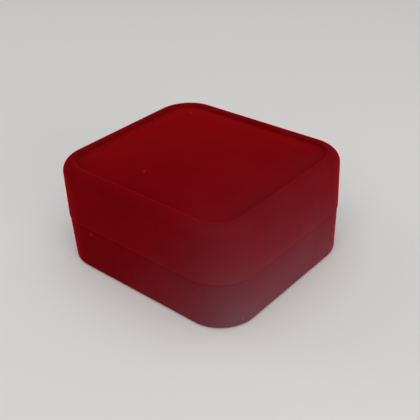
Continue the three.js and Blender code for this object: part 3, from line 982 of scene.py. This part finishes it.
def flock_material(colours):
    """Crimson nylon flock, blown upright onto glue on the moulding. It is matt and even, and its
    tips glow where the wall turns away. Painted light is laid into its colour: a greyer painted
    sheen low at the right, a brighter painted sheen toward the rear left of the lid's recess, a
    painted highlight along the lid's lower edge and painted shade on the base. A few pale lint
    fibres are caught in it. A fibre is finer than shows, so the fuzz is drawn at a quarter of a
    millimetre."""
    material, tree, place = new_material("Nylon flock")
    even, tufts, fuzz = pile_colour(tree, place, colours.flock, colours.flock_deep, 0.26, 14.0)
    # Painted sheen: the recess turns toward the brighter tone at its rear left.
    with_recess_sheen = add_node(
        tree,
        "ShaderNodeMix",
        {"B": tuple(colours.flock_recess_sheen)},
        {"Factor": (recess_sheen_share(tree, place), "Value"), "A": (even, "Result")},
        data_type="RGBA",
    )
    # Multiplies in the painted highlight along the lid's lower edge and the painted shade on the
    # base.
    toned = add_node(
        tree,
        "ShaderNodeMix",
        {"Factor": 1.0},
        {"A": (with_recess_sheen, "Result"), "B": (seam_highlight_and_shade(tree, place), "Color")},
        data_type="RGBA",
        blend_type="MULTIPLY",
    )
    # Painted sheen: the flock turns toward the greyer tone low at the right.
    with_pale_sheen = add_node(
        tree,
        "ShaderNodeMix",
        {"B": tuple(colours.flock_pale_sheen)},
        {"Factor": (pale_sheen_share(tree, place), "Value"), "A": (toned, "Result")},
        data_type="RGBA",
    )
    scatter = {"Scale": per(10.0), "Randomness": 0.9}
    motes = add_node(tree, "ShaderNodeTexVoronoi", scatter, place)
    speck = add_node(
        tree,
        "ShaderNodeMapRange",
        {"From Min": 0.015, "From Max": 0.026, "To Min": 0.5, "To Max": 0.0},
        {"Value": (motes, "Distance")},
    )
    seen = add_node(
        tree,
        "ShaderNodeMix",
        {"B": tuple(colours.lint)},
        {"Factor": (speck, "Result"), "A": (with_pale_sheen, "Result")},
        data_type="RGBA",
    )
    sheen = (0.5, 0.38, (1.0, 0.02, 0.03, 1.0))
    shader = pile_shader(tree, (seen, "Result"), tufts, fuzz, sheen, 0.09)
    return finish_material(material, tree, shader)


def velvet_material(colours):
    """Crimson rayon velvet: longer pile than flock, so it glows more where it turns away, with
    broad light and dark strokes where the pile has been combed."""
    material, tree, place = new_material("Velvet")
    pile, tufts, fuzz = pile_colour(tree, place, colours.velvet, colours.velvet_deep, 0.32, 8.0)
    sheen = (0.8, 0.34, (1.0, 0.06, 0.09, 1.0))
    shader = pile_shader(tree, (pile, "Result"), tufts, fuzz, sheen, 0.14)
    return finish_material(material, tree, shader)


def satin_material(colours):
    """Ivory polyester satin: long floats give a soft gloss along the weave. The threads are a
    tenth of a millimetre, drawn at a quarter so that they show."""
    material, tree, place = new_material("Satin")
    thread, bands_per_unit = 0.25, 6.283
    warp = add_node(
        tree,
        "ShaderNodeTexWave",
        {
            "Scale": per(thread) / bands_per_unit,
            "Distortion": 0.6,
            "Detail": 2.0,
            "Detail Scale": 2.0,
        },
        place,
        bands_direction="X",
    )
    slub = add_node(tree, "ShaderNodeTexNoise", noise_of(2.5, 3.0, 0.6), place)
    cloth = add_node(
        tree,
        "ShaderNodeMix",
        {"A": colours.satin_deep, "B": colours.satin},
        {"Factor": (slub, "Fac")},
        data_type="RGBA",
    )
    raised = {"Strength": 0.35, "Distance": 0.03 * MM}
    bump = add_node(tree, "ShaderNodeBump", raised, {"Height": (warp, "Fac")})
    span = {"To Min": 0.3, "To Max": 0.46}
    gloss = add_node(tree, "ShaderNodeMapRange", span, {"Value": (slub, "Fac")})
    finish = {
        "Specular IOR Level": 0.55,
        "Sheen Weight": 0.25,
        "Sheen Roughness": 0.3,
        "Sheen Tint": to_linear("fff6e6"),
    }
    fed = {
        "Base Color": (cloth, "Result"),
        "Roughness": (gloss, "Result"),
        "Normal": (bump, "Normal"),
    }
    shader = add_node(tree, "ShaderNodeBsdfPrincipled", finish, fed)
    return finish_material(material, tree, shader)


def metal_material(name, tone, roughness, grain):
    """Metal with fine marks that run along x, where the sheet was rolled: a noise stretched
    thirty times along x varies the roughness and the colour a little."""
    material, tree, place = new_material(name)
    stretch = add_node(tree, "ShaderNodeMapping", {"Scale": (1 / 30, 1.0, 1.0)}, place)
    along = {"Vector": (stretch, "Vector")}
    marks = add_node(tree, "ShaderNodeTexNoise", noise_of(grain, 4.0, 0.65), along)
    span = {"To Min": roughness * 0.7, "To Max": roughness * 1.4}
    dull = add_node(tree, "ShaderNodeMapRange", span, {"Value": (marks, "Fac")})
    plate = add_node(
        tree,
        "ShaderNodeMix",
        {"A": darker(tone, 0.8), "B": tuple(tone)},
        {"Factor": (marks, "Fac")},
        data_type="RGBA",
    )
    raised = {"Strength": 0.2, "Distance": 0.01 * MM}
    bump = add_node(tree, "ShaderNodeBump", raised, {"Height": (marks, "Fac")})
    fed = {
        "Base Color": (plate, "Result"),
        "Roughness": (dull, "Result"),
        "Normal": (bump, "Normal"),
    }
    shader = add_node(tree, "ShaderNodeBsdfPrincipled", {"Metallic": 1.0}, fed)
    return finish_material(material, tree, shader)


def mottled_material(name, tone, deep, grain, relief, finish):
    """A plain surface that a noise mottles, between its tone and a share deep of it, and raises.
    grain is the noise's (millimetres, detail, roughness), relief is (strength, millimetres)."""
    material, tree, place = new_material(name)
    mottle = add_node(tree, "ShaderNodeTexNoise", noise_of(*grain), place)
    shade = add_node(
        tree,
        "ShaderNodeMix",
        {"A": darker(tone, deep), "B": tuple(tone)},
        {"Factor": (mottle, "Fac")},
        data_type="RGBA",
    )
    raised = {"Strength": relief[0], "Distance": relief[1] * MM}
    bump = add_node(tree, "ShaderNodeBump", raised, {"Height": (mottle, "Fac")})
    fed = {"Base Color": (shade, "Result"), "Normal": (bump, "Normal")}
    shader = add_node(tree, "ShaderNodeBsdfPrincipled", finish, fed)
    return finish_material(material, tree, shader)


def nickel_material(colours):
    """Bright nickel plate on pressed steel: warm and clear, with faint rolling marks."""
    return metal_material("Nickel-plated steel", colours.nickel, 0.22, 0.12)


def spring_material(colours):
    """Drawn spring steel: cooler and duller than the plate, with stronger drawing marks."""
    return metal_material("Spring steel", colours.steel, 0.32, 0.08)


def styrene_material(colours):
    """Bare moulded polystyrene, where a stake's head was formed by a hot tool: smooth, with a
    soft gloss and slight ripples."""
    ripple, relief, finish = (1.2, 2.0, 0.5), (0.3, 0.05), {"Roughness": 0.34, "IOR": 1.59}
    return mottled_material("Moulded polystyrene", colours.styrene, 0.75, ripple, relief, finish)


def card_material(colours):
    """Grey pressed card: matt, mottled by the short fibres of waste paper."""
    fibres, relief = (0.7, 5.0, 0.75), (0.3, 0.05)
    finish = {"Roughness": 0.9, "Specular IOR Level": 0.25}
    return mottled_material("Grey card", colours.card, 0.7, fibres, relief, finish)


def paper_material(colours):
    """The floor's matt paper: one even tone, with a barely visible tooth."""
    tooth, relief = (0.8, 3.0, 0.5), (0.05, 0.05)
    finish = {"Roughness": 0.85, "Specular IOR Level": 0.2}
    return mottled_material("Matt paper", colours.paper, 1.0, tooth, relief, finish)


MAKERS = {
    "Nylon flock": flock_material,
    "Velvet": velvet_material,
    "Satin": satin_material,
    "Nickel-plated steel": nickel_material,
    "Spring steel": spring_material,
    "Moulded polystyrene": styrene_material,
    "Grey card": card_material,
    "Matt paper": paper_material,
}


def shared_material(name):
    """The material of that name, made the first time that it is asked for."""
    colours = bpy.context.scene.ringbox_colours
    return bpy.data.materials.get(name) or MAKERS[name](colours)


# ---- Operators -----------------------------------------------------------------------------


class RINGBOX_OT_shells(bpy.types.Operator):
    """Makes the flocked base and lid shells and the stakes that hold the hinge"""

    bl_idname = "ringbox.shells"
    bl_label = "Flocked Shells"

    def execute(self, context):
        scene = context.scene
        shells, hinge = scene.ringbox_shells, scene.ringbox_hinge
        flock = shared_material("Nylon flock")
        styrene = shared_material("Moulded polystyrene")
        stations = shell_stations(shells)
        seam = (LID_LOW.z + BASE_HIGH.z) / 2
        shapes = (
            ("lid", lid_rows(shells), shells.lid_draft, lid_edge, LID_LOW.z),
            ("base", base_rows(shells), shells.base_draft, base_edge, BASE_HIGH.z),
        )
        for body, rows, draft, edge, usual in shapes:
            rings = shell_rings(
                stations, rows, draft, seam, lambda x, y: edge(x, y, shells), usual
            )
            mesh = closed_mesh(body + "_flocked_shell", *capped_rings(rings))
            add_piece(mesh, body, flock, [body + "_shell"])
        sunk = 0.5 * MM
        wall_y = LID_HIGH.y - shells.wall + sunk
        heights = {
            "base": LEAF_LOW.z + hinge.stake_edge,
            "lid": LID_LEAF_HIGH.z - hinge.stake_edge,
        }
        for body, z in heights.items():
            mesh = closed_mesh(body + "_stakes", *stakes(hinge, wall_y, z))
            add_piece(mesh, body, styrene)
        return {"FINISHED"}


class RINGBOX_OT_collar(bpy.types.Operator):
    """Makes the velvet-covered collar that the lid closes over"""

    bl_idname = "ringbox.collar"
    bl_label = "Velvet Collar"

    def execute(self, context):
        scene = context.scene
        velvet = shared_material("Velvet")
        vertices, faces = collar_piece(scene.ringbox_lining, scene.ringbox_shells)
        mesh = closed_mesh("velvet_collar", vertices, faces)
        add_piece(mesh, "base", velvet, ["base_collar"])
        return {"FINISHED"}


class RINGBOX_OT_cushion(bpy.types.Operator):
    """Makes the ring cushion: two stuffed velvet rolls and the strip between them"""

    bl_idname = "ringbox.cushion"
    bl_label = "Ring Cushion"

    def execute(self, context):
        scene = context.scene
        lining = scene.ringbox_lining
        velvet = shared_material("Velvet")
        rolls = (
            ("front", ROLL_FRONT_LOW, ROLL_FRONT_HIGH),
            ("rear", ROLL_REAR_LOW, ROLL_REAR_HIGH),
        )
        for which, low, high in rolls:
            rings = roll_rings(lining, low, high, which == "front")
            foot = CUSHION_LOW.z + 1 * MM
            vertices, faces = stuff(
                "roll_" + which, rings, lambda v: v[:, 2] < foot, lining.puff
            )
            mesh = closed_mesh("velvet_roll_" + which, vertices, faces)
            replaced = ["cushion_foam_" + which, "cushion_cover"]
            roll = add_piece(mesh, "base", velvet, replaced)
            smooth = roll.modifiers.new("Smooth", "SUBSURF")
            smooth.levels = smooth.render_levels = 1
        strip = closed_mesh("velvet_slot_strip", *strip_piece(lining))
        add_piece(strip, "base", velvet)
        card = shared_material("Grey card")
        wear(frame["nodes"]["cushion_board"], card)
        return {"FINISHED"}


class RINGBOX_OT_lid_pad(bpy.types.Operator):
    """Makes the stuffed satin pad inside the lid"""

    bl_idname = "ringbox.lid_pad"
    bl_label = "Satin Lid Pad"

    def execute(self, context):
        scene = context.scene
        lining = scene.ringbox_lining
        satin = shared_material("Satin")
        rings = satin_rings(lining, scene.ringbox_shells)
        glued = SATIN_HIGH.z - 0.7 * MM
        vertices, faces = stuff(
            "lid_pad", rings, lambda v: v[:, 2] > glued, lining.satin_puff, pressure=3.0
        )
        mesh = closed_mesh("satin_lid_pad", vertices, faces)
        pad = add_piece(mesh, "lid", satin, ["lid_pad_satin", "lid_pad_foam"])
        smooth = pad.modifiers.new("Smooth", "SUBSURF")
        smooth.levels = smooth.render_levels = 1
        card = shared_material("Grey card")
        wear(frame["nodes"]["lid_pad_board"], card)
        return {"FINISHED"}


class RINGBOX_OT_hinge(bpy.types.Operator):
    """Makes the plated leaves with their rolled knuckles, the pin, the snap spring and its rivet"""

    bl_idname = "ringbox.hinge"
    bl_label = "Snap Hinge"

    def execute(self, context):
        scene = context.scene
        hinge = scene.ringbox_hinge
        nickel = shared_material("Nickel-plated steel")
        steel = shared_material("Spring steel")
        self.make_base_leaf(hinge, nickel)
        self.make_lid_leaf(hinge, nickel)
        self.make_pin(steel)
        self.make_blade(hinge, steel)
        self.make_rivet(nickel)
        return {"FINISHED"}

    def stake_holes(self, hinge, z):
        """The two bars that cut a leaf's holes for its stakes at the height z."""
        x = LEAF_HIGH.x - hinge.stake_inset
        return [drill(side * x, LEAF_LOW.y, z, hinge.stake_hole) for side in (-1, 1)]

    def make_base_leaf(self, hinge, nickel):
        """The lower leaf: a plate cut out for the spring, with a knuckle at each end."""
        half, centre = LEAF_HIGH.x, hinge.centre_width / 2
        front, back = LEAF_LOW.y, LEAF_LOW.y + hinge.sheet
        outer_start = centre + hinge.gap
        notch_z = BLADE_HIGH.z - hinge.blade - 2 * hinge.gap
        base_notches = [
            (-half, AXIS.z),
            (-outer_start, AXIS.z),
            (-outer_start, notch_z),
            (outer_start, notch_z),
            (outer_start, AXIS.z),
            (half, AXIS.z),
        ]
        plate = leaf_outline(hinge, half, AXIS.z, LEAF_LOW.z, base_notches)
        curl = curl_section(hinge, 1)
        base_parts = [
            extrusion(plate, front, back, (1, 0, 2)),
            extrusion(curl, outer_start, half, (0, 1, 2)),
            extrusion(curl, -half, -outer_start, (0, 1, 2)),
        ]
        rivet_z = (RIVET_LOW.z + RIVET_HIGH.z) / 2
        holes = self.stake_holes(hinge, LEAF_LOW.z + hinge.stake_edge)
        holes.append(drill(0, front, rivet_z, hinge.rivet_hole))
        mesh = sheet_metal("nickel_base_leaf", base_parts, hinge, holes)
        add_piece(mesh, "base", nickel, ["hinge_base_leaf"])

    def make_lid_leaf(self, hinge, nickel):
        """The upper leaf: a plate with a knuckle in its middle, whose flats the spring snaps on."""
        half, centre = LEAF_HIGH.x, hinge.centre_width / 2
        front, back = LEAF_LOW.y, LEAF_LOW.y + hinge.sheet
        clear_z = AXIS.z + hinge.bore + hinge.sheet + hinge.gap
        lid_notches = [
            (-half, clear_z),
            (-centre, clear_z),
            (-centre, AXIS.z),
            (centre, AXIS.z),
            (centre, clear_z),
            (half, clear_z),
        ]
        plate = leaf_outline(hinge, half, AXIS.z, LID_LEAF_HIGH.z, lid_notches)
        curl = curl_section(hinge, -1, flats=(90, OPENING_DEGREES - 90))
        lid_parts = [
            extrusion(plate, front, back, (1, 0, 2)),
            extrusion(curl, -centre, centre, (0, 1, 2)),
        ]
        holes = self.stake_holes(hinge, LID_LEAF_HIGH.z - hinge.stake_edge)
        mesh = sheet_metal("nickel_lid_leaf", lid_parts, hinge, holes)
        add_piece(mesh, "lid", nickel, ["hinge_lid_leaf"])

    def make_pin(self, steel):
        """A straight pin with a domed head at each end."""
        head = (PIN_HIGH.z - PIN_LOW.z) / 2
        shank = head - 0.35 * MM
        end, rise = PIN_HIGH.x, 0.5 * MM
        dome = arc((0, 0), (rise, head), 90, 4, 6)
        right = [(end - rise + a, r) for a, r in dome]
        left = [(-a, r) for a, r in right[::-1]]
        profile = left + [(rise - end, shank), (end - rise, shank)] + right
        mesh = closed_mesh("steel_hinge_pin", *lathe(profile, AXIS, (1, 0, 0)))
        add_piece(mesh, "base", steel, ["hinge_pin"])

    def make_blade(self, hinge, steel):
        """A strip that runs up the leaf and bends back under the lid's knuckle."""
        t, front = hinge.blade, BLADE_LOW.y
        bend = 0.9 * MM
        top = BLADE_HIGH.z
        outside = arc((front + bend, top - bend), (bend, bend), 180, 90, 8)
        inside = arc((front + bend, top - bend), (bend - t, bend - t), 90, 180, 8)
        section = np.concatenate(
            [
                [(front + t, BLADE_LOW.z), (front, BLADE_LOW.z)],
                outside,
                [(BLADE_HIGH.y, top), (BLADE_HIGH.y, top - t)],
                inside,
            ]
        )
        parts = [extrusion(section, BLADE_LOW.x, BLADE_HIGH.x, (0, 1, 2))]
        rivet_z = (RIVET_LOW.z + RIVET_HIGH.z) / 2
        holes = [drill(0, front, rivet_z, hinge.rivet_hole)]
        mesh = sheet_metal("steel_snap_blade", parts, hinge, holes)
        add_piece(mesh, "base", steel, ["snap_spring"])

    def make_rivet(self, nickel):
        """A rivet with a domed head in front and a flatter one behind."""
        radius = (RIVET_HIGH.z - RIVET_LOW.z) / 2
        middle_z = (RIVET_HIGH.z + RIVET_LOW.z) / 2
        span, rise = RIVET_HIGH.y - RIVET_LOW.y, 0.35 * MM
        dome = arc((0, 0), (rise, radius), 90, 4, 6)
        right = [(span - rise + a, r) for a, r in dome]
        left = [(rise - a, r) for a, r in dome[::-1]]
        shank = radius - 0.6 * MM
        profile = left + [(rise, shank), (span - rise, shank)] + right
        centre = (0, RIVET_HIGH.y, middle_z)
        mesh = closed_mesh("nickel_spring_rivet", *lathe(profile, centre, (0, -1, 0)))
        add_piece(mesh, "base", nickel, ["spring_rivet"])


def area_light(name, place, target, size, power):
    """A white soft light at a place, turned to a target. Its power is in watts."""
    data = bpy.data.lights.new(name, "AREA")
    data.shape = "RECTANGLE"
    data.size, data.size_y = size
    data.energy = power
    light = bpy.data.objects.new(name, data)
    bpy.context.scene.collection.objects.link(light)
    turn = (Vector(target) - Vector(place)).to_track_quat("-Z", "Y").to_matrix().to_4x4()
    light.matrix_world = Matrix.Translation(place) @ turn


class RINGBOX_OT_stage(bpy.types.Operator):
    """Makes the floor, the soft lights and the camera"""

    bl_idname = "ringbox.stage"
    bl_label = "Stage"

    def execute(self, context):
        scene = context.scene
        stage = scene.ringbox_stage
        self.make_camera(scene, stage)
        self.make_floor(scene)
        self.make_lights(scene)
        scene.view_settings.view_transform = "Standard"
        return {"FINISHED"}

    def make_camera(self, scene, stage):
        """The camera looks along its view from the foot of the box, stepped aside and up."""
        a, e = stage.azimuth, stage.elevation
        back = Vector((math.sin(a) * math.cos(e), -math.cos(a) * math.cos(e), math.sin(e)))
        right = Vector((math.cos(a), math.sin(a), 0))
        up = back.cross(right)
        place = back * stage.distance + right * stage.aside + up * stage.above
        c, s = math.cos(stage.roll), math.sin(stage.roll)
        turned_right, turned_up = right * c - up * s, right * s + up * c
        data = bpy.data.cameras.new("Camera")
        data.lens = stage.lens / MM
        data.sensor_width = 36.0
        data.clip_start, data.clip_end = 0.01, 20.0
        camera = bpy.data.objects.new("Camera", data)
        scene.collection.objects.link(camera)
        axes = Matrix((turned_right, turned_up, back)).transposed().to_4x4()
        camera.matrix_world = Matrix.Translation(place) @ axes
        scene.camera = camera

    def make_floor(self, scene):
        """A round floor: rings of even angle whose radius grows with the square of the step."""
        columns, rows, reach = 64, 12, 3.0
        t = np.linspace(0, 2 * math.pi, columns, endpoint=False)
        radius = reach * np.linspace(0.05, 1, rows) ** 2
        ring = np.stack([np.cos(t), np.sin(t), np.zeros(columns)], 1)
        rings = radius[:, None, None] * ring
        vertices = np.concatenate([rings.reshape(-1, 3), [[0, 0, 0]]])
        c = np.arange(columns)
        middle = np.stack([np.full(columns, rows * columns), c, (c + 1) % columns], 1).tolist()
        quads = [tuple(reversed(f)) for f in ring_faces(rows, columns)]
        mesh = bpy.data.meshes.new("floor")
        mesh.from_pydata(vertices.tolist(), [], [tuple(f) for f in middle] + quads)
        mesh.validate()
        mesh.materials.append(shared_material("Matt paper"))
        floor = bpy.data.objects.new("floor", mesh)
        scene.collection.objects.link(floor)

    def make_lights(self, scene):
        """A pale room with softboxes overhead, in front, low at the right and, weaker, left."""
        world = bpy.data.worlds.new("Room")
        scene.world = world
        world.use_nodes = True
        room = world.node_tree.nodes["Background"]
        room.inputs["Color"].default_value = (1.0, 1.0, 1.0, 1.0)
        room.inputs["Strength"].default_value = 0.42
        area_light("Overhead softbox", (0.1, 0.05, 0.9), (0, 0, 0), (0.9, 0.9), 2.0)
        area_light("Front softbox", (0.35, -0.55, 0.8), (0, 0, 0), (0.8, 0.8), 3.1)
        area_light("Side softbox", (0.75, -0.2, 0.22), (0, 0, 0.02), (0.5, 0.35), 2.0)
        area_light("Fill softbox", (-0.8, -0.2, 0.4), (0, 0, 0.02), (0.5, 0.5), 0.85)


class RINGBOX_PT_panel(bpy.types.Panel):
    """Lists the ring box's sizes and operators"""

    bl_idname = "RINGBOX_PT_panel"
    bl_label = "Ring Box"
    bl_space_type = "VIEW_3D"
    bl_region_type = "UI"
    bl_category = "Ring Box"

    def draw(self, context):
        layout = self.layout
        for operator in OPERATORS:
            layout.operator(operator.bl_idname)
        for key, group in GROUPS.items():
            box = layout.box()
            box.label(text=group.__name__)
            for name in group.__annotations__:
                box.prop(getattr(context.scene, key), name)


GROUPS = {
    "ringbox_shells": RingBoxShells,
    "ringbox_lining": RingBoxLining,
    "ringbox_hinge": RingBoxHinge,
    "ringbox_colours": RingBoxColours,
    "ringbox_stage": RingBoxStage,
}
OPERATORS = (
    RINGBOX_OT_stage,
    RINGBOX_OT_shells,
    RINGBOX_OT_collar,
    RINGBOX_OT_cushion,
    RINGBOX_OT_lid_pad,
    RINGBOX_OT_hinge,
)


def register():
    """Adds the classes and the scene's properties to Blender."""
    for cls in (*GROUPS.values(), *OPERATORS, RINGBOX_PT_panel):
        bpy.utils.register_class(cls)
    for key, group in GROUPS.items():
        setattr(bpy.types.Scene, key, bpy.props.PointerProperty(type=group))


def unregister():
    """Takes them out again."""
    for key in GROUPS:
        delattr(bpy.types.Scene, key)
    for cls in reversed((*GROUPS.values(), *OPERATORS, RINGBOX_PT_panel)):
        bpy.utils.unregister_class(cls)


def main():
    """Builds everything in turn."""
    register()
    bpy.ops.ringbox.stage()
    bpy.ops.ringbox.shells()
    bpy.ops.ringbox.collar()
    bpy.ops.ringbox.cushion()
    bpy.ops.ringbox.lid_pad()
    bpy.ops.ringbox.hinge()


if __name__ == "__main__":
    main()
